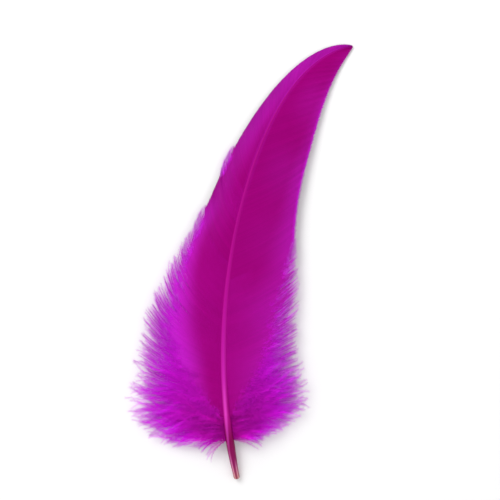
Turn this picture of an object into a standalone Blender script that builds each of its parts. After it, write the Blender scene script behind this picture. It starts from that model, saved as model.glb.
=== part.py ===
"""A dyed goose quill feather lying on its underside, one grown piece in one solid.

The solid is a loft: closed cross-sections stand at stations along the curved shaft. Near the root
each section is the round quill alone. Further up it is the quill with a vane on each side, thick
where the down is and thin where the barbs are zipped together.
Metres, +Z up. +Y runs from the quill's root to the feather's tip, +X to the wide vane's side.
"""

import math

import bpy
import numpy as np

MM = 0.001

# Shaft line, seen from above: it bends steadily, and more and more towards the tip.
FEATHER_LENGTH = 182 * MM
STEADY_BEND = math.radians(45)
TIP_BEND = math.radians(50)
TIP_BEND_POWER = 9  # how late along the shaft the tip's bend comes

# Shaft line, seen from the side: a low arch from the root to the tip.
ROOT_HEIGHT = 1.3 * MM
TIP_HEIGHT = 0.8 * MM
ARCH_HEIGHT = 7.0 * MM
ARCH_SKEW = 0.8

# Quill
ROOT_RADIUS = 1.15 * MM
QUILL_RADIUS = 1.75 * MM
SHAFT_END_RADIUS = 0.12 * MM
SHAFT_TAPER = 1.1
BARREL = 0.08  # share of the length over which the root widens
ROOT_ROUNDING = 0.012  # share of the length in the rounded root end

# Outline: the half width on each side of the shaft, as shares of the length along it.
DOWN_START = 0.07
DOWN_WIDEST = 0.25
DOWN_POWER = 4.0  # how fully the down's lower end is rounded
VANE_START = 0.30
NARROW_VANE = 16.9 * MM  # outer vane, on the convex side, at VANE_START
NARROW_VANE_TIP = 6.9 * MM
NARROW_CHANGE = 0.9  # share of the vane's length over which it goes from the one width to the other
NARROW_DOWN = 31.1 * MM
NARROW_DOWN_END = 0.58
NARROW_TIP_POWER = 3.0  # how late each vane closes to the tip
NARROW_TIP_CLOSE = 0.6  # how it closes there: 0.5 is round, 1 is pointed
WIDE_VANE = 19.6 * MM
WIDE_VANE_TIP = 21.6 * MM
WIDE_CHANGE = 0.24
WIDE_DOWN = 26.8 * MM
WIDE_DOWN_END = 0.66
WIDE_TIP_POWER = 3.2
WIDE_TIP_CLOSE = 0.71

# Thickness
VANE_THICKNESS = 0.8 * MM
VANE_RISE = 0.3  # the vane leaves the shaft this share of its radius above the middle
NARROW_DROOP = 0.75  # share of the shaft's height that each vane's edge droops
WIDE_DROOP = 0.55
DOWN_ABOVE_SHAFT = 2.6 * MM
DOWN_EDGE_HEIGHT = 3.2 * MM
DOWN_RIM = 0.35  # share of the half width, at the edge, where the down lifts off the surface below
DOWN_RIM_LIFT = 1.2 * MM
DOWN_RAMP = 0.05
DOWN_FULL_END = 0.36
DOWN_THIN_END = 0.52

# Loft
QUILL_STEPS = 6  # spans across the top of the quill
VANE_STEPS = 7  # spans across each vane
SIDE_POINTS = QUILL_STEPS + 2 * VANE_STEPS + 1


def smooth(t):
    """0 below 0, 1 above 1, and an even S between them."""
    t = min(max(t, 0.0), 1.0)
    return t * t * (3 - 2 * t)


def shaft_line():
    """Function that gives (x, y) and the heading at a share s of the length, with the chord along +Y."""
    steps = 720
    s = (np.arange(steps) + 0.5) / steps
    heading = STEADY_BEND * s + TIP_BEND * s**TIP_BEND_POWER
    step = FEATHER_LENGTH / steps
    reach = np.sum(np.sin(heading)), np.sum(np.cos(heading))
    heading = heading - math.atan2(*reach)
    knots = np.linspace(0, 1, steps + 1)
    x = np.concatenate([[0], np.cumsum(np.sin(heading)) * step])
    y = np.concatenate([[0], np.cumsum(np.cos(heading)) * step])

    def place(share):
        return np.interp(share, knots, x), np.interp(share, knots, y), np.interp(share, s, heading)

    return place


def shaft_height(s):
    """Height of the shaft's middle above the surface that the feather lies on."""
    arch = ARCH_HEIGHT * math.sin(math.pi * s**ARCH_SKEW)
    return ROOT_HEIGHT + (TIP_HEIGHT - ROOT_HEIGHT) * s + arch


def shaft_radius(s):
    """The barrel widens from its rounded root, then the shaft thins to the tip."""
    full = SHAFT_END_RADIUS + (QUILL_RADIUS - SHAFT_END_RADIUS) * (1 - s) ** SHAFT_TAPER
    barrel = ROOT_RADIUS / QUILL_RADIUS + (1 - ROOT_RADIUS / QUILL_RADIUS) * smooth(s / BARREL)
    rounding = math.sqrt(1 - (1 - min(s / ROOT_ROUNDING, 1)) ** 2)
    return full * barrel * max(rounding, 0.35)


def half_width(s, vane, vane_tip, change, down, down_end, tip_power, tip_close):
    """Half width of the feather on one side: a vane that closes to the tip, and a lobe of down below it."""
    t = max(s - VANE_START, 0) / (1 - VANE_START)
    width = vane + (vane_tip - vane) * smooth(t / change)
    width *= (1 - t**tip_power) ** tip_close
    past = min(max((s - DOWN_WIDEST) / (down_end - DOWN_WIDEST), 0), 1)
    width += (down - vane) * math.cos(past * math.pi / 2) ** 2
    before = min(max((DOWN_WIDEST - s) / (DOWN_WIDEST - DOWN_START), 0), 1)
    return width * math.sqrt(1 - before**DOWN_POWER)


def narrow_width(s):
    vane = NARROW_VANE, NARROW_VANE_TIP, NARROW_CHANGE
    down = NARROW_DOWN, NARROW_DOWN_END
    return half_width(s, *vane, *down, NARROW_TIP_POWER, NARROW_TIP_CLOSE)


def wide_width(s):
    vane = WIDE_VANE, WIDE_VANE_TIP, WIDE_CHANGE
    down = WIDE_DOWN, WIDE_DOWN_END
    return half_width(s, *vane, *down, WIDE_TIP_POWER, WIDE_TIP_CLOSE)


def down_share(s):
    """1 where the feather is all down, 0 where it is all vane."""
    rise = smooth((s - DOWN_START) / DOWN_RAMP)
    return rise * (1 - smooth((s - DOWN_FULL_END) / (DOWN_THIN_END - DOWN_FULL_END)))


def top_and_bottom(s, v, width):
    """Heights of the upper and lower surface at v across the shaft, where the vane is width wide."""
    height, radius = shaft_height(s), shaft_radius(s)
    out = min(abs(v) / width, 1)
    droop = (NARROW_DROOP if v < 0 else WIDE_DROOP) * max(height - TIP_HEIGHT / 2, 0)
    vane = height + VANE_RISE * radius - droop * out**2
    top, bottom = vane + VANE_THICKNESS / 2, vane - VANE_THICKNESS / 2
    down_top = height + DOWN_ABOVE_SHAFT
    down_top += (DOWN_EDGE_HEIGHT - down_top) * out**2
    down_bottom = DOWN_RIM_LIFT * max((out - 1) / DOWN_RIM + 1, 0) ** 2
    share = down_share(s)
    top += (down_top - top) * share
    bottom += (down_bottom - bottom) * share
    quill = math.sqrt(max(radius**2 - v**2, 0))
    if quill > 0:
        top, bottom = max(top, height + quill), min(bottom, height - quill)
    return top, max(bottom, 0)


def quill_section(s):
    """(across, height) points round the bare quill."""
    turn = 2 * math.pi / (2 * SIDE_POINTS)
    angles = [math.pi - (k + 0.5) * turn for k in range(2 * SIDE_POINTS)]
    radius = shaft_radius(s)
    return [(radius * math.cos(a), shaft_height(s) + radius * math.sin(a)) for a in angles]


def feathered_section(s, narrow, wide):
    """(across, height) points round the quill and both vanes: over the top from left to right, and back."""
    radius = shaft_radius(s)
    out = [k / VANE_STEPS for k in range(1, VANE_STEPS + 1)]
    across = [-radius - (narrow - radius) * k for k in reversed(out)]
    across += [-radius * math.cos(math.pi * k / QUILL_STEPS) for k in range(QUILL_STEPS + 1)]
    across += [radius + (wide - radius) * k for k in out]
    heights = [top_and_bottom(s, v, narrow if v < 0 else wide) for v in across]
    over = [(v, h[0]) for v, h in zip(across, heights)]
    under = [(v, h[1]) for v, h in zip(across, heights)]
    return over + under[::-1]


def stations():
    """Shares of the length where sections stand, closer together at the ends and where the down starts."""
    root = [ROOT_ROUNDING * (1 - math.cos(a)) for a in np.linspace(0, math.pi / 2, 5)]
    barrel = list(np.linspace(ROOT_ROUNDING, DOWN_START, 7)[1:])
    lobe = DOWN_WIDEST - DOWN_START
    down = [DOWN_WIDEST - lobe * math.cos(a) for a in np.linspace(0, math.pi / 2, 13)[1:]]
    vane = list(np.linspace(DOWN_WIDEST, 0.93, 23)[1:])
    tip = [0.93 + 0.0695 * math.sin(a) for a in np.linspace(0, math.pi / 2, 8)[1:]]
    return root + barrel + down + vane + tip


def loft(sections, name):
    """A closed mesh with a quad strip between each section and the next, and a face over each end."""
    ring = len(sections[0])
    points = [p for section in sections for p in section]
    faces = []
    for row in range(len(sections) - 1):
        for k in range(ring):
            a, b = row * ring + k, row * ring + (k + 1) % ring
            faces.append((a, b, b + ring, a + ring))
    faces.append(tuple(reversed(range(ring))))
    faces.append(tuple(range(len(points) - ring, len(points))))
    mesh = bpy.data.meshes.new(name)
    mesh.from_pydata(points, [], faces)
    mesh.validate()
    return mesh


def feather_points():
    """The sections in space, shifted so that the feather's box stands centred on the origin."""
    place = shaft_line()
    sections = []
    for s in stations():
        narrow, wide = narrow_width(s), wide_width(s)
        bare = min(narrow, wide) <= shaft_radius(s) and s <= DOWN_WIDEST
        flat = quill_section(s) if bare else feathered_section(s, narrow, wide)
        x, y, heading = place(s)
        side = math.cos(heading), -math.sin(heading)
        sections.append([(x + v * side[0], y + v * side[1], z) for v, z in flat])
    points = np.array(sections)
    low, high = points.min(axis=(0, 1)), points.max(axis=(0, 1))
    points -= [(low[0] + high[0]) / 2, (low[1] + high[1]) / 2, low[2]]
    return points.tolist()


def dyed_barbs():
    """Matt magenta of the dyed barbs."""
    material = bpy.data.materials.new("dyed_barbs")
    material.use_nodes = True
    shader = material.node_tree.nodes["Principled BSDF"]
    shader.inputs["Base Color"].default_value = (0.39, 0.0, 0.24, 1)
    shader.inputs["Roughness"].default_value = 0.65
    shader.inputs["Metallic"].default_value = 0.0
    return material


def make_feather():
    mesh = loft(feather_points(), "feather")
    mesh.shade_smooth()
    mesh.set_sharp_from_angle(angle=math.radians(40))
    feather = bpy.data.objects.new("feather", mesh)
    feather.data.materials.append(dyed_barbs())
    bpy.context.scene.collection.objects.link(feather)


for old in list(bpy.data.objects):
    bpy.data.objects.remove(old)
make_feather()
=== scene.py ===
# A goose quill feather dyed magenta, lying on a pale table and seen from straight above.
# Lengths are millimetres until newMesh writes them in metres. A place on the feather is three
# numbers: how far along the shaft from the root, how far across it (left is negative), and height.
# A value whose name ends in Ramp is two numbers: where an S from 0 to 1 starts, and the span it takes.
import math

import bpy
import numpy as np
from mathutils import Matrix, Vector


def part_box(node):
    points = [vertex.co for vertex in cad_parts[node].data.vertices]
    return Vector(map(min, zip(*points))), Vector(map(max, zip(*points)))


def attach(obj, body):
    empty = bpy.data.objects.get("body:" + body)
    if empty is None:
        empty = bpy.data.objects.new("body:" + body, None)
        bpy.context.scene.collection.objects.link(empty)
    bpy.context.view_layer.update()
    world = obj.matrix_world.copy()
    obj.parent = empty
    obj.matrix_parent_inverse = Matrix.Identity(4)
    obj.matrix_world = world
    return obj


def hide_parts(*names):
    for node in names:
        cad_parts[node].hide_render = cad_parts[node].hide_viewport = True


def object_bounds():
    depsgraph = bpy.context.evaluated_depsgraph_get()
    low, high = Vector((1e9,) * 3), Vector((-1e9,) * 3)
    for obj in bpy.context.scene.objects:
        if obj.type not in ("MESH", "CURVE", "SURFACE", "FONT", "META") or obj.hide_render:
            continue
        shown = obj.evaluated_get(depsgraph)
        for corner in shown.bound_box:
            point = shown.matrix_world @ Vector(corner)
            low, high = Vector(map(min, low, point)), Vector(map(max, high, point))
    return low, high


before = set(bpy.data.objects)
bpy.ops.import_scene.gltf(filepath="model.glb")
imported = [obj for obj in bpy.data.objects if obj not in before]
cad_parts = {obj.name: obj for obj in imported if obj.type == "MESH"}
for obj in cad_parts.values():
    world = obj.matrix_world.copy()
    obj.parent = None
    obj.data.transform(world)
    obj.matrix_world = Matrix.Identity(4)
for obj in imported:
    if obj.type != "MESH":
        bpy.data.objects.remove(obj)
cadLow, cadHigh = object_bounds()
millimetre = 0.001
sideNames = {-1: "left", 1: "right"}

shaft = {
    "length": 182.0,
    "steadyBend": 45.0,  # degrees over the whole length
    "tipBend": 50.0,  # degrees more, nearly all of it near the tip
    "tipBendPower": 9.0,
    "rootHeight": 1.3,
    "tipHeight": 0.8,
    "archHeight": 7.0,
    "archSkew": 0.8,
    "rootRadius": 1.15,
    "radius": 1.75,
    "endRadius": 0.12,
    "taper": 1.1,
    "barrel": 0.08,  # share of the length over which the root widens
}

outline = {
    "downStart": 0.07,  # shares of the shaft's length
    "downWidest": 0.25,
    "downPower": 4.0,  # how fully the down's lower end is rounded
    "vaneStart": 0.30,
    "vaneRise": 0.3,  # the vane leaves the shaft this share of its radius above the middle
    "left": {
        "vane": 16.9,
        "vaneTip": 6.9,
        "change": 0.9,  # share of the vane's length over which it goes from the one width to the other
        "down": 31.1,
        "downEnd": 0.58,
        "tipPower": 3.0,
        "tipClose": 0.6,
        "droop": 0.75,
    },
    "right": {
        "vane": 19.6,
        "vaneTip": 21.6,
        "change": 0.24,
        "down": 26.8,
        "downEnd": 0.66,
        "tipPower": 3.2,
        "tipClose": 0.71,
        "droop": 0.55,
    },
}


# An S from 0 to 1: three times the square less twice the cube
def smooth(t):
    t = np.clip(t, 0, 1)
    return t * t * (3 - 2 * t)


# The same S, from where it starts and over its span
def ramp(value, startAndSpan):
    start, span = startAndSpan
    return smooth((value - start) / span)


# The line's heading is the steady bend times the share of its length, plus the tip's bend times a high power
# of that share. Its chord points along +Y, and it runs on past both ends.
def shaftLine():
    steps, before, after = 1000, 60, 100
    step = 1 / steps
    share = np.arange(-before, steps + after + 1) * step
    root, tip = before, before + steps
    middle = np.maximum(share[:-1] + step / 2, 0)
    tipBend = shaft["tipBend"] * np.minimum(middle, 1) ** shaft["tipBendPower"]
    heading = np.radians(shaft["steadyBend"] * middle + tipBend)
    heading -= math.atan2(np.sin(heading[root:tip]).sum(), np.cos(heading[root:tip]).sum())
    x = np.concatenate([[0], np.cumsum(np.sin(heading))]) * step * shaft["length"]
    y = np.concatenate([[0], np.cumsum(np.cos(heading))]) * step * shaft["length"]
    return {
        "along": share * shaft["length"],
        "x": x - x[root],
        "y": y - y[root],
        "heading": np.interp(share, share[:-1] + step / 2, heading),
    }


line = shaftLine()


# Height of the shaft's middle: a straight fall from root to tip, plus a skewed half wave
def shaftHeight(along):
    share = np.clip(along / shaft["length"], 0, 1)
    fall = (shaft["tipHeight"] - shaft["rootHeight"]) * share
    return shaft["rootHeight"] + fall + shaft["archHeight"] * np.sin(math.pi * share ** shaft["archSkew"])


# The shaft thins to the tip by a power of what is left of its length, and its barrel widens from the root
def shaftRadius(along):
    share = np.clip(along / shaft["length"], 0, 1)
    full = shaft["endRadius"] + (shaft["radius"] - shaft["endRadius"]) * (1 - share) ** shaft["taper"]
    root = shaft["rootRadius"] / shaft["radius"]
    return full * (root + (1 - root) * smooth(share / shaft["barrel"]))


# Half width of one side: a vane that closes towards the tip by a power, and a lobe of down that fades up it
# as a squared cosine and opens from the shaft as a full, rounded end
def halfWidth(along, side):
    form = outline[sideNames[side]]
    share = along / shaft["length"]
    up = np.clip((share - outline["vaneStart"]) / (1 - outline["vaneStart"]), 0, 1)
    width = form["vane"] + (form["vaneTip"] - form["vane"]) * smooth(up / form["change"])
    width = width * (1 - up ** form["tipPower"]) ** form["tipClose"]
    past = np.clip((share - outline["downWidest"]) / (form["downEnd"] - outline["downWidest"]), 0, 1)
    width = width + (form["down"] - form["vane"]) * np.cos(past * math.pi / 2) ** 2
    before = np.clip((outline["downWidest"] - share) / (outline["downWidest"] - outline["downStart"]), 0, 1)
    return width * np.sqrt(1 - before ** outline["downPower"])


# The shaft's point there, plus the distance across times the level direction square to the shaft
def inSpace(along, across, height):
    x, y, heading = (np.interp(along, line["along"], line[key]) for key in ("x", "y", "heading"))
    return np.stack([x + across * np.cos(heading), y - across * np.sin(heading), height], -1)


# Moves the shaft line so that the outline's box has its middle where the solid's box has it
def centreOnSolid():
    low, high = (np.array(corner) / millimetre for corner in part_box("feather"))
    along = np.linspace(0, shaft["length"], 721)
    edges = [inSpace(along, side * halfWidth(along, side), 0 * along) for side in sideNames]
    edges = np.concatenate(edges + [inSpace(along, 0 * along, 0 * along)])
    off = (low + high) / 2 - (edges.min(0) + edges.max(0)) / 2
    line["x"] += off[0]
    line["y"] += off[1]


centreOnSolid()


# Height of the vane's middle: it leaves the shaft a little above its middle and droops as the square
# of the share of the way out
def vaneHeight(along, across):
    left = across < 0
    width = np.where(left, halfWidth(along, -1), halfWidth(along, 1))
    droop = np.where(left, outline["left"]["droop"], outline["right"]["droop"])
    height = shaftHeight(along)
    out = np.clip(np.abs(across) / np.maximum(width, 1), 0, 1)
    fall = droop * np.maximum(height - shaft["tipHeight"] / 2, 0) * out**2
    return height + outline["vaneRise"] * shaftRadius(along) - fall


# Smooth noise along a line: a few sine waves added up, of random starts, and of random lengths between two
# multiples of the span
def wavy(x, span, draw, waves=5, multiples=(0.6, 1.8)):
    lengths = span * draw.uniform(*multiples, waves)
    starts = draw.uniform(0, 2 * math.pi, waves)
    return np.sin(2 * math.pi * np.asarray(x)[..., None] / lengths + starts).sum(-1) / math.sqrt(waves)


# Each vector over its own length
def unit(vectors):
    return vectors / np.maximum(np.linalg.norm(vectors, axis=-1, keepdims=True), 1e-9)


# Neighbouring strands form bunches of random size, and each is drawn towards its bunch's middle line by a
# share of the way, which is given for each of its points
def bunched(points, draw, size, pull):
    bunch = np.cumsum(draw.random(len(points)) < 1 / size)
    total = np.zeros((bunch[-1] + 1, *points.shape[1:]))
    np.add.at(total, bunch, points)
    middle = total / np.maximum(np.bincount(bunch), 1)[:, None, None]
    return points + (middle[bunch] - points) * pull[..., None]


# Below a soft limit the height falls off as an exponential, so that nothing goes through the table
def aboveTable(points, limit=0.6):
    points = np.array(points)
    height = points[..., 2]
    points[..., 2] = np.where(height < limit, limit * np.exp(np.minimum(height / limit - 1, 0)), height)
    return points


# Writes points, faces of any number of corners, one number or vector per point under each name,
# and one place per face corner on the map
def newMesh(name, points, faceSets, numbers, corners, material):
    mesh = bpy.data.meshes.new(name)
    mesh.vertices.add(len(points))
    mesh.vertices.foreach_set("co", (points * millimetre).astype(np.float32).ravel())
    order = np.concatenate([faces.ravel() for faces in faceSets]).astype(np.int32)
    sizes = np.concatenate([np.full(len(faces), faces.shape[1]) for faces in faceSets])
    mesh.loops.add(len(order))
    mesh.loops.foreach_set("vertex_index", order)
    mesh.polygons.add(len(sizes))
    mesh.polygons.foreach_set("loop_start", np.concatenate([[0], np.cumsum(sizes)[:-1]]).astype(np.int32))
    mesh.update(calc_edges=True)
    for label, values in numbers.items():
        kind, field = ("FLOAT", "value") if values.ndim == 1 else ("FLOAT_VECTOR", "vector")
        stored = mesh.attributes.new(label, kind, "POINT")
        stored.data.foreach_set(field, values.astype(np.float32).ravel())
    bakeMap = mesh.uv_layers.new(name="OFBake")
    bakeMap.data.foreach_set("uv", np.concatenate(corners).astype(np.float32).ravel())
    mesh.materials.append(material)
    piece = bpy.data.objects.new(name, mesh)
    bpy.context.scene.collection.objects.link(piece)
    return piece


# Joins rings, given as (strand, station, point round it, xyz), into closed tubes: quads from each station
# to the next, and one face over each end. On the map each strand is a column and each station a height.
def tubes(rings, heights):
    strands, stations, around = rings.shape[:3]
    index = np.arange(strands * stations * around).reshape(strands, stations, around)
    near, far = index[:, :-1], index[:, 1:]
    quads = np.stack([near, np.roll(near, -1, 2), np.roll(far, -1, 2), far], -1).reshape(-1, 4)
    ends = np.concatenate([index[:, 0, ::-1], index[:, -1]])
    margin = 0.1  # of a column's width, left free on each side of it
    quadWidth = (1 - 2 * margin) / around / strands
    column = (np.arange(strands)[:, None, None] + margin) / strands
    left = column + quadWidth * np.arange(around) + np.zeros((1, stations - 1, 1))
    right = left + quadWidth
    low = np.broadcast_to(heights[:, :-1, None], left.shape)
    high = np.broadcast_to(heights[:, 1:, None], left.shape)
    quadMap = np.stack([left, low, right, low, right, high, left, high], -1).reshape(-1, 2)
    turn = 2 * math.pi * np.arange(around) / around
    endSize = 0.3 / strands
    disc = endSize * np.stack([np.cos(turn), np.sin(turn)], -1)
    middle = (np.arange(strands) + 0.5) / strands
    endMap = [np.stack([middle, heights[:, station]], -1)[:, None] + disc for station in (0, -1)]
    return rings.reshape(-1, 3), [quads, ends], [quadMap, np.concatenate(endMap).reshape(-1, 2)]


# Flat spikes: three points round each base, wide in the plane of the spike and its stem and thin across it,
# and one point at the end. On the map the base lies at the given place, and the end off to one side of it.
def spikes(base, way, stemWay, length, width, thickness, mapPlace, mapReach):
    second = unit(np.cross(way, stemWay))
    first = np.cross(second, way)
    points = [base + way * length[:, None]]
    for corner in range(3):
        turn = 2 * math.pi * corner / 3
        wide = (width * math.cos(turn))[:, None] * first
        points.append(base + wide + thickness * math.sin(turn) * second)
    start = 4 * np.arange(len(base))[:, None]
    faces = np.stack([start + face for face in ([0, 1, 2], [0, 2, 3], [0, 3, 1], [1, 3, 2])], 1)
    baseMap = 0.0006 * np.array([[0, -1], [0, 1], [0.3, 0]])  # a small triangle
    places = np.stack([mapPlace + mapReach] + [mapPlace + corner for corner in baseMap], 1)
    corners = places[:, [0, 1, 2, 0, 2, 3, 0, 3, 1, 1, 3, 2]]
    return np.stack(points, 1).reshape(-1, 3), faces.reshape(-1, 3), corners.reshape(-1, 2)


# A finished piece stands for the solid on its body. Faces that meet at less than the angle are shaded as one
# surface, and without an angle none are.
def placePiece(piece, sharpAngle=None):
    if sharpAngle is None:
        piece.data.shade_flat()
    else:
        piece.data.shade_smooth()
        piece.data.set_sharp_from_angle(angle=math.radians(sharpAngle))
    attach(piece, "root")
    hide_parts("feather")
    print("made", piece.name, len(piece.data.polygons), "faces")


# A material whose main shader has these numbers and colours on its own sockets
def newMaterial(name, settings):
    material = bpy.data.materials.new(name)
    material.use_nodes = True
    shader = material.node_tree.nodes["Principled BSDF"]
    for socket, value in settings.items():
        shader.inputs[socket].default_value = value
    return material, material.node_tree, shader


# Nodes are named by what they do, and numbers and colours sit on their own sockets
def addNode(tree, kind, label, inputs=(), **settings):
    made = tree.nodes.new(kind)
    made.name = made.label = label
    for key, value in settings.items():
        setattr(made, key, value)
    for key, value in dict(inputs).items():
        if isinstance(value, bpy.types.NodeSocket):
            tree.links.new(value, made.inputs[key])
        else:
            made.inputs[key].default_value = value
    return made


# Colours between stops, each a position and a colour
def rampNode(tree, label, value, stops):
    made = addNode(tree, "ShaderNodeValToRGB", label, {0: value})
    for position, _ in stops[1:-1]:
        made.color_ramp.elements.new(position)
    for element, (position, colour) in zip(made.color_ramp.elements, stops):
        element.position = position
        element.color = (*colour, 1)
    return made.outputs[0]


# Goes from one number to another while the value goes from one place to another, straight or as an S
def rangeNode(tree, label, value, places, numbers, kind="LINEAR"):
    return addNode(tree, "ShaderNodeMapRange", label, {
        "Value": value,
        "From Min": places[0],
        "From Max": places[1],
        "To Min": numbers[0],
        "To Max": numbers[1],
    }, interpolation_type=kind).outputs[0]


# One step of arithmetic, of which MULTIPLY_ADD is the first value times the second, plus the third
def mathNode(tree, label, operation, *values):
    return addNode(tree, "ShaderNodeMath", label, enumerate(values), operation=operation).outputs[0]


# The colour times the shade
def shadedNode(tree, colour, shade):
    inputs = {0: colour, "Scale": shade}
    return addNode(tree, "ShaderNodeVectorMath", "shaded colour", inputs, operation="SCALE").outputs[0]


dye = {
    # the thin stops also serve as the painted sheen and highlight that the edge bands put on the vane
    "stops": [
        (0.0, (0.37, 0.0, 0.195)),  # where barbs lie tight
        (0.8, (0.59, 0.014, 0.60)),  # where there is little of them
        (0.92, (0.60, 0.020, 0.64)),  # near their loose ends
        (1.0, (0.53, 0.190, 0.56)),  # at those ends
    ],
    "patchSize": 14.0,
    "patchDetail": 3.0,
    "patchDepth": 0.06,  # how much lighter or darker a patch gets, as a share
    "finish": {
        "Sheen Weight": 0.3,
        "Sheen Roughness": 0.4,
        "Sheen Tint": (0.75, 0.04, 1.0, 1),
        "Specular IOR Level": 0.25,
        "Specular Tint": (1.0, 0.05, 1.0, 1),
    },
}


# Dyed barbs: the colour goes through its stops by the mesh's own number for how thin they are. Broad patches
# of noise and each strand's own tone make it lighter or darker, and some light comes through from behind.
def barbMaterial(name, roughness, through, lift, strandDepth):
    material, tree, shader = newMaterial(name, {"Roughness": roughness, **dye["finish"]})
    place = addNode(tree, "ShaderNodeTexCoord", "place")
    patches = addNode(tree, "ShaderNodeTexNoise", "patches of dye", {
        "Vector": place.outputs["Object"],
        "Scale": 1 / (dye["patchSize"] * millimetre),
        "Detail": dye["patchDetail"],
    })
    thin = addNode(tree, "ShaderNodeAttribute", "thin", attribute_name="thin")
    tone = addNode(tree, "ShaderNodeAttribute", "tone", attribute_name="tone")
    # on the vane the number for how thin also carries the edge bands' painted sheen and highlight
    colour = rampNode(tree, "dense to thin", thin.outputs["Fac"], dye["stops"])
    depth = dye["patchDepth"]
    byPatch = mathNode(tree, "patch shade", "MULTIPLY_ADD", patches.outputs["Fac"], 2 * depth, lift - depth)
    byStrand = mathNode(tree, "strand shade", "MULTIPLY_ADD", tone.outputs["Fac"], strandDepth, byPatch)
    shaded = shadedNode(tree, colour, byStrand)
    tree.links.new(shaded, shader.inputs["Base Color"])
    behind = addNode(tree, "ShaderNodeBsdfTranslucent", "light from behind", {"Color": shaded})
    mixed = addNode(tree, "ShaderNodeMixShader", "surface", {
        0: through,
        1: shader.outputs[0],
        2: behind.outputs[0],
    })
    tree.links.new(mixed.outputs[0], tree.nodes["Material Output"].inputs["Surface"])
    return material


# lift makes the whole colour lighter; the loose down's is far higher, painted light that makes up for the
# shade its strands cast on one another
zippedBarbs = barbMaterial("zipped barbs", roughness=0.5, through=0.2, lift=1.03, strandDepth=0.035)
looseDown = barbMaterial("loose down", roughness=0.8, through=0.55, lift=1.55, strandDepth=0.13)

# Places along are shares of the shaft's length, and sizes and places across are shares of its radius
quill = {
    "round": 28,
    "stations": 150,
    "end": 0.999,
    "groove": 0.35,
    "grooveWidth": 0.35,
    "grooveRamp": (0.10, 0.08),
    "flatten": 0.12,  # how much narrower the sides get, where the groove is
    "flatTop": 0.4,  # how much lower the upper half gets
    "flatTopRamp": (0.14, 0.14),
    "rim": 1.3,  # how far the rounded rim runs, as a share of the wall's thickness
    "rimSteps": 11,
    "bore": 0.42,
    "boreDepth": 1.6,  # millimetres
    "boreDepths": (1, 0.5, 0.2, 0.05),  # shares of that, from the bottom up
    "boreRadii": (0.55, 0.8, 0.95, 1.0),  # and of the bore's radius there
    "sides": [
        (0.0, (0.33, 0.070, 0.100)),
        (0.03, (0.24, 0.010, 0.095)),
        (0.085, (0.20, 0.001, 0.065)),
        (0.13, (0.39, 0.001, 0.22)),
        (0.25, (0.43, 0.001, 0.26)),
        (0.50, (0.40, 0.0, 0.22)),
        (1.0, (0.37, 0.0, 0.20)),
    ],
    # the pale line: partly the horn's own paler colour, partly a painted highlight on the lit left side
    "pale": [
        (0.0, (0.68, 0.38, 0.31)),
        (0.025, (0.64, 0.24, 0.38)),
        (0.045, (0.48, 0.10, 0.30)),
        (0.065, (0.34, 0.030, 0.17)),
        (0.10, (0.47, 0.030, 0.34)),
        (0.14, (0.73, 0.050, 0.52)),
        (0.17, (0.66, 0.042, 0.48)),
        (0.21, (0.55, 0.018, 0.41)),
        (0.26, (0.48, 0.010, 0.34)),
        (0.36, (0.42, 0.003, 0.275)),
        (0.44, (0.385, 0.001, 0.23)),
        (0.52, (0.335, 0.0, 0.20)),
        (1.0, (0.34, 0.0, 0.20)),
    ],
    "paleShares": (0.06, 0.14, 0.26),  # at the root, where the down ends, and further up
    "paleAt": (-0.55, -0.20, 0.0),  # the middle of the pale line there
    "paleWidth": (0.34, 0.70, 1.1),  # half its width there
    # the second pale line is a painted highlight along the tube's wall at the root
    "secondHighlight": (0.02, 0.05),  # a second pale line, on the right, fades out between these
    "streaks": (9.0, 6.0, 1.0),  # how closely they follow each other across, along and down
    "streakDetail": 4.0,
    "streakShade": (0.8, 0.4),  # the darkest streak's, and how much more the lightest one has
    "streakBump": 0.15,
    "streakHeight": 0.1,  # millimetres
    "dull": (0.1, 0.5),
    "roughness": (0.24, 0.6),  # up to the first of those, and from the second on
    "finish": {
        "Specular IOR Level": 0.35,
        "Specular Tint": (1.0, 0.15, 0.55, 1),
    },
}


# A smooth bump, 1 in its middle and 0 from its half span on, of how far a value is from that middle
def bumpNodes(tree, label, value, middle, halfSpan):
    off = mathNode(tree, label + " off", "SUBTRACT", value, middle)
    away = mathNode(tree, label + " away", "ABSOLUTE", off)
    return rangeNode(tree, label, away, (0.0, halfSpan), (1.0, 0.0), "SMOOTHSTEP")


# Straight runs between numbers at given places: the first number, plus each change in turn
def runNodes(tree, label, value, places, numbers):
    total = numbers[0]
    for k in range(1, len(numbers)):
        change = (0.0, numbers[k] - numbers[k - 1])
        run = rangeNode(tree, label + " change " + str(k), value, places[k - 1:k + 1], change)
        total = mathNode(tree, label + " " + str(k), "ADD", total, run)
    return total
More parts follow.
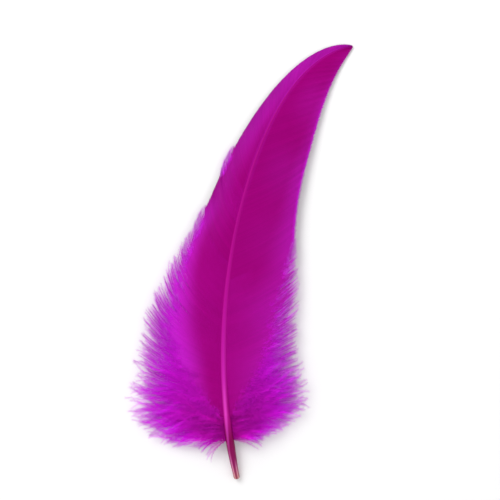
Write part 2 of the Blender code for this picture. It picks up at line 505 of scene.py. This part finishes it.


# The quill's horn: crimson and glossy at the root, and up the shaft nearly the vane's colour. A pale line
# runs along it, left of the middle, rosy at the root and bright pink where the down ends, and fades to the
# tip. It is partly the shaft's own paler horn and partly a painted highlight on the side that faces the key
# lamp. A second one lies on the right at the root, where both are painted highlights along the tube's walls.
# Long faint streaks run through the horn.
def hornMaterial():
    material, tree, shader = newMaterial("dyed horn", quill["finish"])
    grain = addNode(tree, "ShaderNodeAttribute", "grain", attribute_name="grain")
    where = addNode(tree, "ShaderNodeSeparateXYZ", "where", {0: grain.outputs["Vector"]})
    across, along = where.outputs["X"], where.outputs["Y"]
    stretch = addNode(tree, "ShaderNodeMapping", "stretch", {
        "Vector": grain.outputs["Vector"],
        "Scale": quill["streaks"],
    })
    streaks = addNode(tree, "ShaderNodeTexNoise", "streaks", {
        "Vector": stretch.outputs[0],
        "Scale": 1.0,
        "Detail": quill["streakDetail"],
    })
    # the pale lines: painted highlight, partly over the shaft's own paler horn
    lineMiddle = runNodes(tree, "pale line's middle", along, quill["paleShares"], quill["paleAt"])
    lineWidth = runNodes(tree, "pale line's width", along, quill["paleShares"], quill["paleWidth"])
    first = bumpNodes(tree, "pale line", across, lineMiddle, lineWidth)
    second = bumpNodes(tree, "second line", across, -quill["paleAt"][0], quill["paleWidth"][0])
    atRoot = rangeNode(tree, "at the root", along, quill["secondHighlight"], (1.0, 0.0), "SMOOTHSTEP")
    lined = addNode(tree, "ShaderNodeMix", "with pale lines", {
        0: mathNode(tree, "both pale lines", "MULTIPLY_ADD", second, atRoot, first),
        6: rampNode(tree, "along the sides", along, quill["sides"]),
        7: rampNode(tree, "along the pale line", along, quill["pale"]),
    }, data_type="RGBA")
    darkest, lighter = quill["streakShade"]
    shade = mathNode(tree, "streak shade", "MULTIPLY_ADD", streaks.outputs["Fac"], lighter, darkest)
    shaded = shadedNode(tree, lined.outputs[2], shade)
    duller = rangeNode(tree, "duller up the shaft", along, quill["dull"], quill["roughness"])
    bump = addNode(tree, "ShaderNodeBump", "streak bump", {
        "Strength": quill["streakBump"],
        "Distance": quill["streakHeight"] * millimetre,
        "Height": streaks.outputs["Fac"],
    })
    tree.links.new(shaded, shader.inputs["Base Color"])
    tree.links.new(bump.outputs[0], shader.inputs["Normal"])
    tree.links.new(duller, shader.inputs["Roughness"])
    return material


# The shaft's middle line carries a ring at each station. Up the shaft the ring is squeezed at the sides, has
# a bell-shaped groove below, and gets lower above. At the root it turns in over a rounded rim to the bottom
# of a small bore.
def makeQuill():
    turn = 2 * math.pi * np.arange(quill["round"]) / quill["round"]
    roll = np.linspace(0, math.pi / 2, quill["rimSteps"] + 1)[1:]
    bore = quill["bore"] * shaft["rootRadius"]
    wall = shaft["rootRadius"] - bore
    boreAlong = quill["boreDepth"] * np.array(quill["boreDepths"])
    boreRadius = bore * np.array(quill["boreRadii"])
    rootAlong = np.concatenate([boreAlong, quill["rim"] * wall * (1 - np.cos(roll))])
    rootRadius = np.concatenate([boreRadius, bore + wall * np.sin(roll)])
    upAlong = np.linspace(rootAlong[-1], shaft["length"] * quill["end"], quill["stations"])[1:]
    along = np.concatenate([rootAlong, upAlong])
    radius = np.concatenate([rootRadius, shaftRadius(upAlong)])[:, None]
    share = along[:, None] / shaft["length"]
    groove = ramp(share, quill["grooveRamp"])
    across = radius * np.cos(turn) * (1 - quill["flatten"] * groove)
    below = np.where(np.sin(turn) < 0, np.exp(-((np.cos(turn) / quill["grooveWidth"]) ** 2)), 0)
    flatTop = quill["flatTop"] * ramp(share, quill["flatTopRamp"])
    rise = np.sin(turn) * np.where(np.sin(turn) > 0, 1 - flatTop, 1) + quill["groove"] * groove * below
    height = shaftHeight(along)[:, None] + radius * rise
    rings = inSpace(along[:, None] + 0 * across, across, height)[None, :, ::-1]
    points, faces, corners = tubes(rings, np.linspace(0, 1, len(along))[None])
    grain = np.stack(np.broadcast_arrays(np.cos(turn)[::-1], share, np.sin(turn)[::-1]), -1)
    piece = newMesh("quill", points, faces, {"grain": grain.reshape(-1, 3)}, corners, hornMaterial())
    placePiece(piece, sharpAngle=60)


makeQuill()

barbs = {
    "roots": (0.09, 0.18, 0.30, 0.45, 0.70, 0.93, 1.0),  # shares of the shaft's length, for the angles below
    "leftAtShaft": (84, 74, 62, 50, 40, 26, 2),  # degrees between barb and shaft
    "leftAtEdge": (114, 66, 20, 10, 10, 10, -8),
    "rightAtShaft": (84, 76, 66, 57, 49, 32, 2),
    "rightAtEdge": (114, 72, 36, 26, 22, 13, -8),
    "turnPower": 1.5,  # how late along itself a barb turns from one angle to the other
    "inset": 0.6,  # how far out it starts, as a share of the shaft's radius
    "longest": 80.0,
    "halvings": 40,
}


# How far paths have got by each station, for every unit of length: each step's rate is the mean of those at
# its two ends
def summed(rate):
    step = 1 / (rate.shape[1] - 1)
    return np.pad(np.cumsum((rate[:, 1:] + rate[:, :-1]) / 2, 1) * step, ((0, 0), (1, 0)))


# A barb leaves the shaft at one angle and turns to another by a power, plus any extra turn given. Unless its
# length is given, it is as long as puts its end at the outline, times its reach: found by halving the range
# of lengths, for all barbs at once.
def barbPaths(side, roots, stations, extraTurn=0.0, reach=1.0, length=None):
    t = np.linspace(0, 1, stations)
    start = np.interp(roots, barbs["roots"], barbs[sideNames[side] + "AtShaft"])[:, None]
    end = np.interp(roots, barbs["roots"], barbs[sideNames[side] + "AtEdge"])[:, None]
    angle = np.radians(start + (end - start) * t ** barbs["turnPower"] + extraTurn)
    forward, outward = summed(np.cos(angle)), summed(np.sin(angle))
    first = roots * shaft["length"]
    inset = barbs["inset"] * shaftRadius(first)
    if length is None:
        short, long = np.zeros(len(roots)), np.full(len(roots), barbs["longest"])
        for _ in range(barbs["halvings"]):
            middle = (short + long) / 2
            endAlong = first + middle * forward[:, -1]
            edge = halfWidth(np.minimum(endAlong, shaft["length"]), side)
            over = (inset + middle * outward[:, -1] > edge) | (endAlong > shaft["length"])
            long = np.where(over, middle, long)
            short = np.where(over, short, middle)
        length = short * reach
    length = length[:, None]
    return first[:, None] + length * forward, side * (inset[:, None] + length * outward)


# Roots, evenRamp and shaftTintRamp are shares of the shaft's length. Other shares are of a barb's own
# length, or of what their note says.
vane = {
    "seeds": {-1: 11, 1: 12},
    "pitch": 0.36,  # between barbs along the shaft
    "firstRoot": 0.135,
    "lastRoot": 0.996,
    "stations": 22,
    "lowest": 0.25,
    "raggedness": 0.0048,  # of the barbs' lengths
    "sway": 0.5,  # degrees that neighbouring barbs turn together
    "swaySpan": 5.0,
    "ripple": 0.06,
    "rippleSpan": 6.0,
    "rippleWaves": 6,
    "rippleOut": 0.8,  # how far out it has its full height
    "evenRamp": (0.30, 0.12),  # roots from which the barbs lie evenly
    "unevenTurn": 2.5,  # below those: degrees that each one turns on its own
    "unevenReach": (-0.12, 0.06),  # and how much shorter or longer it is
    "zippedRoots": (0.10, 0.14, 0.18, 0.22, 0.26, 0.32, 0.38, 0.43),
    "zipped": (0.0, 0.16, 0.38, 0.63, 0.77, 0.85, 0.91, 1.03),  # how far out the barbs with those roots are
    "zipUneven": 0.03,
    "zipSpan": 3.0,
    "zipEvenRamp": (0.85, 0.18),  # how far out they are zipped where that gets even
    "wisps": ((0.39, 20, 1.1), (0.445, 24, 1.1), (0.595, 30, 1.0)),  # highest root, barbs, millimetres off
    "wispTop": 5.0,  # barbs over which a wisp fades out above its highest root
    "wispEndRamp": (0.5, 0.7),  # and how it does so down the feather, as shares of its barbs
    "wispOffRamp": (0.6, 0.4),  # where its barbs leave the edge
    "wispUneven": (0.8, 1.1),
    "wispZipped": 0.86,  # how far out they stay zipped
    "bunch": 4.0,  # barbs whose loose ends cling together
    "clinging": 0.10,
    "clingingEnd": 1.02,
    "leastLoose": 0.05,
    "widestGap": 0.6,
    "overlap": 0.18,  # of the gap to the next barb, as the next two
    "ridgeAt": 0.28,
    "keelAt": 0.4,
    "ridge": 0.06,
    "leastRidge": 0.3,  # what is left of it where the barb is narrowest, as a share of it
    "keel": 0.10,
    "leastKeel": 0.4,
    "edgeDrop": 0.05,
    "bareWidth": 0.22,  # of a barb's bare stem, as a share of its zipped width
    "bareRamp": (-0.04, 0.10),  # how far in from the end of its zipped part
    "endLength": 0.035,  # over which it closes
    "endOpen": 0.05,  # over 0, so that its end isn't a point
    "thinRamp": (-0.15, 0.5),  # how far out from the end of its zipped part its colour gets thin
    "patchy": 0.05,
    "patchSpan": 26.0,
    "patchOut": 0.5,  # how far out the patches are at their strongest, as a share of the vane's width
    "shaftTint": 0.22,  # how much thinner the colour is beside the shaft's upper half
    "shaftTintReach": 0.6,
    "shaftTintRamp": (0.5, 0.25),
}


# How far out the barbs stay zipped, as a share of their length: straight runs between the numbers given, and
# where the ends are loose it differs a little from barb to barb
def zippedShare(roots, draw):
    share = np.interp(roots, vane["zippedRoots"], vane["zipped"])
    uneven = wavy(roots * shaft["length"], vane["zipSpan"], draw) + draw.normal(0, 1, len(roots))
    return share + vane["zipUneven"] * uneven * (1 - ramp(share, vane["zipEvenRamp"]))


# Paths of all the vane's barbs on one side, with ripples along the vane. A wisp on the left is a run of
# barbs whose ends come unzipped and stand off the edge, moved out as an S along each: less and less down the
# feather, and hardly at all above the highest. Loose ends cling together in bunches.
def vanePaths(side):
    draw = np.random.default_rng(vane["seeds"][side])
    count = int((vane["lastRoot"] - vane["firstRoot"]) * shaft["length"] / vane["pitch"])
    roots = np.linspace(vane["firstRoot"], vane["lastRoot"], count)
    rootAlong = roots * shaft["length"]
    t = np.linspace(0, 1, vane["stations"])
    turn = vane["sway"] * wavy(rootAlong, vane["swaySpan"], draw)[:, None] * t
    uneven = 1 - ramp(roots, vane["evenRamp"])
    turn += uneven[:, None] * draw.normal(0, vane["unevenTurn"], (count, 1)) * t**2
    reach = 1 + draw.normal(0, vane["raggedness"], count)
    reach = reach + uneven * draw.uniform(*vane["unevenReach"], count)
    zipped = zippedShare(roots, draw)
    along, across = barbPaths(side, roots, vane["stations"], turn, reach)
    for highest, size, off in vane["wisps"] if side < 0 else ():
        below = np.searchsorted(roots, highest) - np.arange(count)
        gone = np.where(below < 0, smooth(-below / vane["wispTop"]), ramp(below / size, vane["wispEndRamp"]))
        away = (1 - gone)[:, None] * ramp(t, vane["wispOffRamp"])
        across = across + side * off * away * draw.uniform(*vane["wispUneven"], (count, 1))
        zipped = zipped + (vane["wispZipped"] - zipped) * (1 - gone)
    looseSpan = np.maximum(vane["clingingEnd"] - zipped, vane["leastLoose"])[:, None]
    pull = vane["clinging"] * smooth((t - zipped[:, None]) / looseSpan)
    along, across = np.moveaxis(bunched(np.stack([along, across], -1), draw, vane["bunch"], pull), -1, 0)
    ripple = wavy(rootAlong, vane["rippleSpan"], draw, vane["rippleWaves"])[:, None]
    height = vaneHeight(along, across) + vane["ripple"] * ripple * smooth(t / vane["rippleOut"])
    height = np.maximum(height, vane["lowest"])
    return {"t": t, "along": along, "across": across, "height": height, "zipped": zipped, "draw": draw}


# Where the colour goes from dense to thin along a side, by the share of the shaft's length. It does so from
# one share of the way out, over a span of it, by an amount, as an S. Low on the feather this is the barbs'
# own thinner colour where they come loose; on the upper left vane it is a painted sheen along the edge that
# curves down. The rim adds a painted highlight at the very edge.
edgeBands = {
    "left": {
        # from the share 0.66 up, this band is a painted sheen rather than thinner barbs
        "share": (0.18, 0.25, 0.31, 0.37, 0.43, 0.50, 0.58, 0.66, 0.74, 0.82, 0.90),
        "from": (0.12, 0.16, 0.26, 0.34, 0.48, 0.62, 0.40, -0.15, -0.20, -0.60, -0.60),
        "span": (0.34, 0.36, 0.40, 0.38, 0.37, 0.28, 0.45, 1.0, 0.85, 0.95, 0.95),
        "amount": (0.80, 0.80, 0.76, 0.74, 0.68, 0.50, 0.12, 0.20, 0.26, 0.32, 0.42),
        "rim": 0.0,
        "tipTone": -0.5,  # how much lighter the barbs get towards the tip
        "edgeTone": -4.0,  # and their outer half does along a middle stretch
    },
    "right": {
        "share": (0.15, 0.25, 0.31, 0.37, 0.45, 0.60, 0.80, 1.0),
        "from": (-0.10, -0.12, -0.05, 0.0, 0.40, 0.62, 0.70, 0.70),
        "span": (1.10, 1.15, 1.20, 1.20, 0.60, 0.36, 0.30, 0.30),
        "amount": (0.66, 0.60, 0.50, 0.42, 0.38, 0.38, 0.22, 0.18),
        # the rim is a painted highlight where the right edge catches the light
        "rim": 0.6,
        "tipTone": 4.5,
        "edgeTone": 0.0,
    },
    "rimHighlightRamp": (0.92, 0.06),  # shares of the way out
    "edgeToneRamp": (0.3, 0.5),
    "everywhere": 0.10,  # how much thinner it gets on the way out, apart from the bands
    "everywhereOut": 0.8,
    "tipToneRamp": (0.65, 0.35),  # shares of the shaft's length, as the next two
    "stretchStartRamp": (0.46, 0.12),
    "stretchEndRamp": (0.80, 0.08),
}


# How thin the barbs' colour is: it grows a little all the way out from the shaft, then with the band and the
# rim at the edge. The upper left band is painted sheen, and the rim is a painted highlight.
def bandThinAndSheen(side, share, out):
    form = edgeBands[sideNames[side]]
    start, span, amount = (np.interp(share, form["share"], form[key]) for key in ("from", "span", "amount"))
    everywhere = edgeBands["everywhere"] * smooth(out / edgeBands["everywhereOut"])
    return everywhere + amount * smooth((out - start) / span) + form["rim"] * ramp(out, edgeBands["rimHighlightRamp"])


# How much lighter or darker the barbs get: all of each one towards the tip, and its outer half along a
# middle stretch of the vane
def bandTone(side, share, out):
    form = edgeBands[sideNames[side]]
    stretch = ramp(share, edgeBands["stretchStartRamp"]) - ramp(share, edgeBands["stretchEndRamp"])
    edge = form["edgeTone"] * stretch * ramp(out, edgeBands["edgeToneRamp"])
    return form["tipTone"] * ramp(share, edgeBands["tipToneRamp"]) + edge


# How thin the colour is at each point of the barbs, and its tone. It is as thin as the bands say, or as the
# loose ends are, plus long faint patches and a line beside the shaft, so it carries the bands' painted sheen
# and highlight too. Each barb adds a tone of its own.
def vaneColours(side, paths):
    along, off = paths["along"][:-1], np.abs(paths["across"][:-1])
    out = off / np.maximum(halfWidth(along, side), 1)
    share = along / shaft["length"]
    loose = ramp(paths["t"] - paths["zipped"][:-1, None], vane["thinRamp"])
    patches = wavy(along, vane["patchSpan"], paths["draw"])
    patchy = vane["patchy"] * patches * smooth(out / vane["patchOut"])
    beside = 1 - smooth((off - shaftRadius(along)) / vane["shaftTintReach"])
    beside = vane["shaftTint"] * beside * ramp(share, vane["shaftTintRamp"])
    thin = np.clip(np.maximum(bandThinAndSheen(side, share, out), loose) + patchy + beside, 0, 1)
    tone = paths["draw"].normal(0, 1, (len(along), 1)) + bandTone(side, share, out)
    return {"thin": np.repeat(thin.reshape(-1), 4), "tone": np.repeat(tone.reshape(-1), 4)}


# Each barb is a thin closed blade from its own path to the next one's, and a little under it: a rear edge, a
# ridge, a front edge that tucks under, and a keel below. It narrows to a bare stem where it isn't zipped,
# and isn't wider than the widest gap anywhere.
def bladeRings(paths):
    points = inSpace(paths["along"], paths["across"], paths["height"])
    tangent = unit(np.gradient(points, axis=1))[:-1]
    gap = points[1:] - points[:-1]
    gap = gap - (gap * tangent).sum(-1, keepdims=True) * tangent
    size = np.maximum(np.linalg.norm(gap, axis=-1, keepdims=True), 1e-9)
    gap = gap * np.minimum(1, vane["widestGap"] / size)
    points = points[:-1]
    t, zipped = paths["t"], paths["zipped"][:-1, None]
    bare = vane["bareWidth"] + (1 - vane["bareWidth"]) * ramp(zipped - t, vane["bareRamp"])
    width = (bare * smooth((1 - t) / vane["endLength"] + vane["endOpen"]))[..., None]
    up = np.array([0, 0, 1.0])
    ridgeUp = vane["ridge"] * (vane["leastRidge"] + (1 - vane["leastRidge"]) * width)
    keelDown = vane["keel"] * (vane["leastKeel"] + (1 - vane["leastKeel"]) * width)
    rear = points - gap * vane["overlap"] * width
    ridge = points + gap * vane["ridgeAt"] * width + up * ridgeUp
    front = points + gap * (1 + vane["overlap"]) * width - up * vane["edgeDrop"]
    keel = points + gap * vane["keelAt"] * width - up * keelDown
    return np.stack([rear, ridge, front, keel], 2)


# The blades of all the barbs on one side, turned the other way round on the right so that they face out
def makeVane(side, paths):
    rings = bladeRings(paths)[:, :, ::-side]
    points, faces, corners = tubes(rings, np.broadcast_to(paths["t"], rings.shape[:2]))
    name = sideNames[side] + "_vane"
    piece = newMesh(name, aboveTable(points), faces, vaneColours(side, paths), corners, zippedBarbs)
    placePiece(piece, sharpAngle=35)


bothVanes = {side: vanePaths(side) for side in sideNames}
for side, paths in bothVanes.items():
    makeVane(side, paths)

# Loose barbs, and the finer barbules along both sides of each. Shares are of a strand's length.
down = {
    "stations": 16,
    "stem": 0.05,
    "stemTaper": 0.75,
    "foot": 0.02,  # where the barbules begin, unless something covers the strand
    "barbule": 2.2,
    "barbuleLengths": (0.55, 1.15),  # how much shorter or longer each one is
    "barbuleWidth": 0.075,
    "barbuleWidths": (0.8, 1.2),
    "barbuleTaper": 0.6,  # how much narrower they get along a strand
    "barbuleThickness": 0.02,
    "hump": 0.55,  # how much of their length comes and goes along a strand, as a half wave
    "humpStart": 0.12,
    "humpLength": 0.8,
    "firstAngle": 60.0,  # degrees from the barb, at its foot and its end
    "lastAngle": 34.0,
    "angleUneven": 9.0,
    "roll": 0.7,  # radians, how unevenly they stand above and below the level
    "crowding": 1.2,  # a power: over 1 puts more barbules near a strand's foot than near its end
    "thin": (0.25, 1.0),  # how thin the colour is, at a strand's foot and its end
    "hairThin": 0.25,  # how much thinner it is at a barbule's end
}


# Spikes stand along each strand's path, so many to a millimetre, in turn on its left and right, at an angle
# that closes towards its end. They begin at a share of the strand, and crowd towards its foot by a power.
def barbules(points, fromShare, perMillimetre, draw, length):
    strands, stations = points.shape[:2]
    strandLength = np.linalg.norm(np.diff(points, axis=1), axis=-1).sum(1)
    count = np.maximum(perMillimetre * strandLength * (1 - fromShare), 1)
    most = math.ceil(count.max())
    spot = (np.arange(most) + draw.random((strands, most))) / count[:, None]
    row, column = np.nonzero(spot < 1)
    t = fromShare[row] + (1 - fromShare[row]) * spot[row, column] ** down["crowding"]
    at = t * (stations - 1)
    low = np.minimum(at.astype(int), stations - 2)
    part = (at - low)[:, None]
    base = points[row, low] * (1 - part) + points[row, low + 1] * part
    ahead = unit(points[row, low + 1] - points[row, low])
    level = unit(np.cross(ahead, [0.0, 0.0, 1.0]))
    upward = np.cross(level, ahead)
    hand = np.where(column % 2 == 0, 1.0, -1.0)
    roll = draw.normal(0, down["roll"], len(t))
    aside = level * (hand * np.cos(roll))[:, None] + upward * np.sin(roll)[:, None]
    angle = down["firstAngle"] + (down["lastAngle"] - down["firstAngle"]) * t
    angle = np.radians(angle + draw.normal(0, down["angleUneven"], len(t)))[:, None]
    way = unit(ahead * np.cos(angle) + aside * np.sin(angle))
    hump = np.sin(math.pi * (down["humpStart"] + down["humpLength"] * t))
    size = length[row] * draw.uniform(*down["barbuleLengths"], len(t))
    size = size * (1 - down["hump"] + down["hump"] * hump)
    width = down["barbuleWidth"] * draw.uniform(*down["barbuleWidths"], len(t))
    width = width * (1 - down["barbuleTaper"] * t)
    mapPlace = np.stack([(row + 0.5) / strands, t], -1)
    reachAside, reachUp = 0.35, 0.01  # of a column's width, and of the map's height
    mapReach = np.stack([hand * reachAside / strands, reachUp + 0 * t], -1)
    made = spikes(base, way, ahead, size, width, down["barbuleThickness"], mapPlace, mapReach)
    return made, t, row


# A bundle of loose strands as one piece: a three-sided stem along each path, and its barbules, which start
# at a share of each strand and have their own length on it
def makeDown(name, points, fromShare, perMillimetre, draw, length, thin=down["thin"]):
    strands, stations = points.shape[:2]
    t = np.linspace(0, 1, stations)
    tangent = unit(np.gradient(points, axis=1))
    level = unit(np.cross(tangent, [0.0, 0.0, 1.0]))
    upward = np.cross(level, tangent)
    radius = down["stem"] * (1 - down["stemTaper"] * t)[None, :, None]
    rings = [
        points + radius * (math.cos(turn) * level + math.sin(turn) * upward)
        for turn in (0, -2 * math.pi / 3, -4 * math.pi / 3)
    ]
    stemT = np.broadcast_to(t, (strands, stations))
    stems, stemFaces, stemCorners = tubes(np.stack(rings, 2), stemT)
    made, hairT, hairRow = barbules(points, fromShare, perMillimetre, draw, length)
    hairs, hairFaces, hairCorners = made
    tone = draw.normal(0, 1, strands)
    towardsEnd = np.concatenate([
        np.repeat(stemT.reshape(-1), 3),
        np.clip(np.repeat(hairT, 4) + np.tile([down["hairThin"], 0, 0, 0], len(hairT)), 0, 1),
    ])
    numbers = {
        "thin": np.clip(thin[0] + (thin[1] - thin[0]) * towardsEnd, 0, 1),
        "tone": np.concatenate([np.repeat(tone, 3 * stations), np.repeat(tone[hairRow], 4)]),
    }
    piece = newMesh(
        name,
        aboveTable(np.concatenate([stems, hairs])),
        stemFaces + [hairFaces + len(stems)],
        numbers,
        stemCorners + [hairCorners],
        looseDown,
    )
    placePiece(piece)


looseEnds = {
    "seeds": {-1: 21, 1: 22},
    "barbules": 10.2,  # to a millimetre
    "lengths": (1.25, 0.70),  # times a barbule's, where a barb is loose from its foot on and at its end only
    "lead": 0.10,  # how far before the end of a barb's zipped part its barbules begin
    "from": (0.05, 0.9),  # where they begin at the least and the most, as shares of the barb
    "thin": (0.5, 1.0),
}


# The vane's own barbs, where they are no longer zipped
def makeLooseEnds(side, paths):
    draw = np.random.default_rng(looseEnds["seeds"][side])
    loose = paths["zipped"] < 1.0
    points = inSpace(paths["along"], paths["across"], paths["height"])[loose]
    first = np.clip(paths["zipped"][loose] - looseEnds["lead"], *looseEnds["from"])
    length = down["barbule"] * np.interp(first, (0, 1), looseEnds["lengths"])
    name = sideNames[side] + "_loose_ends"
    makeDown(name, points, first, looseEnds["barbules"], draw, length, looseEnds["thin"])


for side, paths in bothVanes.items():
    makeLooseEnds(side, paths)

# Roots and their ramps are shares of the shaft's length, and the other shares are of a strand's
downLayers = {
    "upper": {
        "seeds": {-1: 31, 1: 33},
        "strands": 205,
        "barbules": 10.0,
        "roots": (0.090, 0.30),
        "sink": 0.4,  # how far below the vane the strands start
        "tipRise": (0.3, 2.6),  # how far above it they end
        "bareUnderVane": True,
    },
    "lower": {
        "seeds": {-1: 36, 1: 34},
        "strands": 135,
        "barbules": 6.2,
        "roots": (0.092, 0.35),
        "sink": 1.3,
        "tipRise": (-3.5, -0.4),
        "bareUnderVane": False,
    },
    "rootCrowding": 1.2,  # a power: over 1 puts more strands near the down's lower end
    "rootUneven": 0.0015,
    "turnUneven": 6,  # degrees
    "waveTurns": (10, 26),  # degrees, the least and the most
    "waves": (1.0, 2.4),
    "waveOut": 0.5,  # how far out a strand waves fully
    "unruly": 0.6,  # how much more the lowest strands turn, as a share
    "unrulyRamp": (0.12, 0.15),
    "shortest": 0.74,  # as a share of the way to the outline
    "longer": 0.34,  # how much longer the longest is
    "longerPower": 1.8,  # over 1 makes long ones fewer
    "lowLonger": 0.22,  # how much longer still the lowest strands are
    "lowRamp": (0.13, 0.07),
    "mostCovered": 0.85,
    "riseSpan": 0.6,  # over which a strand rises or sinks, past where the vane covers it
    "bob": 0.5,
    "bobs": (0.8, 1.6),
    "sinkOut": 0.1,
    "bareLead": 0.1,
    "bunch": 3.0,
    "clinging": 0.18,
    "clingingPower": 1.3,
}


# A layer of down on one side: barbs with uneven angles and lengths that wave as they go, in bunches. Past
# the zipped part of the vane they rise above it or sink below it, down to the table.
def makeDownLayer(which, side):
    layer, both = downLayers[which], downLayers
    draw = np.random.default_rng(layer["seeds"][side])
    count, stations = layer["strands"], down["stations"]
    t = np.linspace(0, 1, stations)
    lowest, highest = layer["roots"]
    spread = np.linspace(0, 1, count) ** both["rootCrowding"]
    roots = np.sort(lowest + (highest - lowest) * spread + draw.normal(0, both["rootUneven"], count))
    waves = draw.uniform(*both["waves"], (count, 1)) * t + draw.random((count, 1))
    unruly = 1 + both["unruly"] * (1 - ramp(roots, both["unrulyRamp"]))[:, None]
    turn = draw.normal(0, both["turnUneven"], (count, 1))
    wave = draw.uniform(*both["waveTurns"], (count, 1)) * np.sin(2 * math.pi * waves)
    turn = unruly * (turn + wave * smooth(t / both["waveOut"]))
    reach = both["shortest"] + both["longer"] * draw.random(count) ** both["longerPower"]
    reach = reach + both["lowLonger"] * (1 - ramp(roots, both["lowRamp"]))
    along, across = barbPaths(side, roots, stations, turn, reach)
    covered = np.clip(zippedShare(roots, draw), 0, both["mostCovered"])[:, None]
    rise = draw.uniform(*layer["tipRise"], (count, 1))
    bobs = draw.uniform(*both["bobs"], (count, 1)) * t + draw.random((count, 1))
    rise = (rise + both["bob"] * np.sin(2 * math.pi * bobs)) * smooth((t - covered) / both["riseSpan"])
    height = vaneHeight(along, across) - layer["sink"] * smooth(t / both["sinkOut"]) + rise
    pull = both["clinging"] * t ** both["clingingPower"]
    points = aboveTable(bunched(inSpace(along, across, height), draw, both["bunch"], pull))
    bare = covered[:, 0] - both["bareLead"] if layer["bareUnderVane"] else np.zeros(count)
    first = np.maximum(bare, down["foot"])
    name = sideNames[side] + "_" + which + "_down"
    makeDown(name, points, first, layer["barbules"], draw, np.full(count, down["barbule"]))


for side in sideNames:
    makeDownLayer("upper", side)
    makeDownLayer("lower", side)

tuft = {
    "seeds": {-1: 41, 1: 42},
    "strands": 75,
    "barbules": 9.0,
    "barbule": 0.09,  # as a share of the strand's length
    "from": 0.085,  # shares of the shaft's length
    "to": 0.125,
    "fan": (12.0, -20.0),  # degrees down the shaft, at the lowest root and the highest
    "fanUneven": 11.0,
    "curl": (-15.0, 45.0),  # degrees more at a strand's end, at the least and the most
    "shortest": (6.0, 10.0),  # at the lowest root and the highest
    "longest": (13.0, 22.0),
    "sink": 0.8,  # share of the shaft's height that is gone at a strand's end
    "sinkPower": 1.5,
    "loft": 3.0,
    "loftSpan": 0.8,  # of a half wave, over a strand's length
    "bunch": 3.0,
    "clinging": 0.4,
    "clingingPower": 1.3,
}


# The tuft at the down's lower end: strands fan out from a short stretch of the shaft, down it from its
# lowest root and up it from its highest. Each has its own length and curl, and sinks to the table as a
# power of the share of its length.
def makeTuft(side):
    draw = np.random.default_rng(tuft["seeds"][side])
    count, stations = tuft["strands"], down["stations"]
    t = np.linspace(0, 1, stations)
    roots = np.sort(draw.uniform(tuft["from"], tuft["to"], count))
    up = (roots - tuft["from"]) / (tuft["to"] - tuft["from"])
    fan = np.interp(up, (0, 1), tuft["fan"]) + draw.normal(0, tuft["fanUneven"], count)
    curl = draw.uniform(*tuft["curl"], (count, 1)) * t
    shortest, longest = (np.interp(up, (0, 1), tuft[key]) for key in ("shortest", "longest"))
    length = shortest + (longest - shortest) * draw.random(count)
    along, across = barbPaths(side, roots, stations, fan[:, None] + curl, length=length)
    height = shaftHeight(roots * shaft["length"])[:, None] * (1 - tuft["sink"] * t ** tuft["sinkPower"])
    loft = draw.uniform(0, tuft["loft"], (count, 1))
    height = height + loft * np.sin(math.pi * t * tuft["loftSpan"])
    pull = tuft["clinging"] * t ** tuft["clingingPower"]
    points = aboveTable(bunched(inSpace(along, across, height), draw, tuft["bunch"], pull))
    name = sideNames[side] + "_tuft"
    makeDown(name, points, np.full(count, down["foot"]), tuft["barbules"], draw, tuft["barbule"] * length)


for side in sideNames:
    makeTuft(side)

table = {
    "size": 3.0,  # metres
    "finish": {"Base Color": (0.93, 0.93, 0.93, 1), "Roughness": 0.9},
}


# A level square with its middle at the origin
def makeTable():
    half = table["size"] / 2
    corners = [(-half, -half, 0), (half, -half, 0), (half, half, 0), (-half, half, 0)]
    mesh = bpy.data.meshes.new("table")
    mesh.from_pydata(corners, [], [(0, 1, 2, 3)])
    mesh.materials.append(newMaterial("pale table", table["finish"])[0])
    top = bpy.data.objects.new("table", mesh)
    bpy.context.scene.collection.objects.link(top)


makeTable()

view = {
    "lens": 85.0,
    "turn": 15.0,  # degrees that the feather leans to the right in the picture
    "height": 0.19,  # of the picture, in metres on the table
    "nearest": 0.01,
    "farthest": 20,
}


# The camera looks straight down on the solid's middle, turned so that the feather leans as it does in the
# photograph
def makeCamera():
    data = bpy.data.cameras.new("camera")
    data.lens = view["lens"]
    data.clip_start = view["nearest"]
    data.clip_end = view["farthest"]
    camera = bpy.data.objects.new("camera", data)
    distance = view["height"] / data.sensor_width * data.lens
    camera.location = ((cadLow.x + cadHigh.x) / 2, (cadLow.y + cadHigh.y) / 2, distance)
    camera.rotation_euler = (0, 0, math.radians(view["turn"]))
    bpy.context.scene.collection.objects.link(camera)
    bpy.context.scene.camera = camera


makeCamera()

# Places and sizes in metres, and power in watts
lamps = {
    "key": {"place": (-0.55, 0.35, 0.65), "size": 0.5, "power": 4.5},
    "fill": {"place": (0.6, -0.2, 0.7), "size": 0.8, "power": 0.8},
    "room": 0.75,  # strength of the white light from all round
}


# Square soft lamps, each turned to the feather's middle, and the room's even white light
def makeLamps():
    for name in ("key", "fill"):
        lamp = lamps[name]
        data = bpy.data.lights.new(name, "AREA")
        data.shape = "SQUARE"
        data.size = lamp["size"]
        data.energy = lamp["power"]
        lit = bpy.data.objects.new(name, data)
        lit.location = lamp["place"]
        lit.rotation_euler = (-lit.location).to_track_quat("-Z", "Y").to_euler()
        bpy.context.scene.collection.objects.link(lit)
    world = bpy.data.worlds.new("room")
    world.use_nodes = True
    world.node_tree.nodes["Background"].inputs["Color"].default_value = (1, 1, 1, 1)
    world.node_tree.nodes["Background"].inputs["Strength"].default_value = lamps["room"]
    bpy.context.scene.world = world
    bpy.context.scene.view_settings.view_transform = "Standard"


makeLamps()
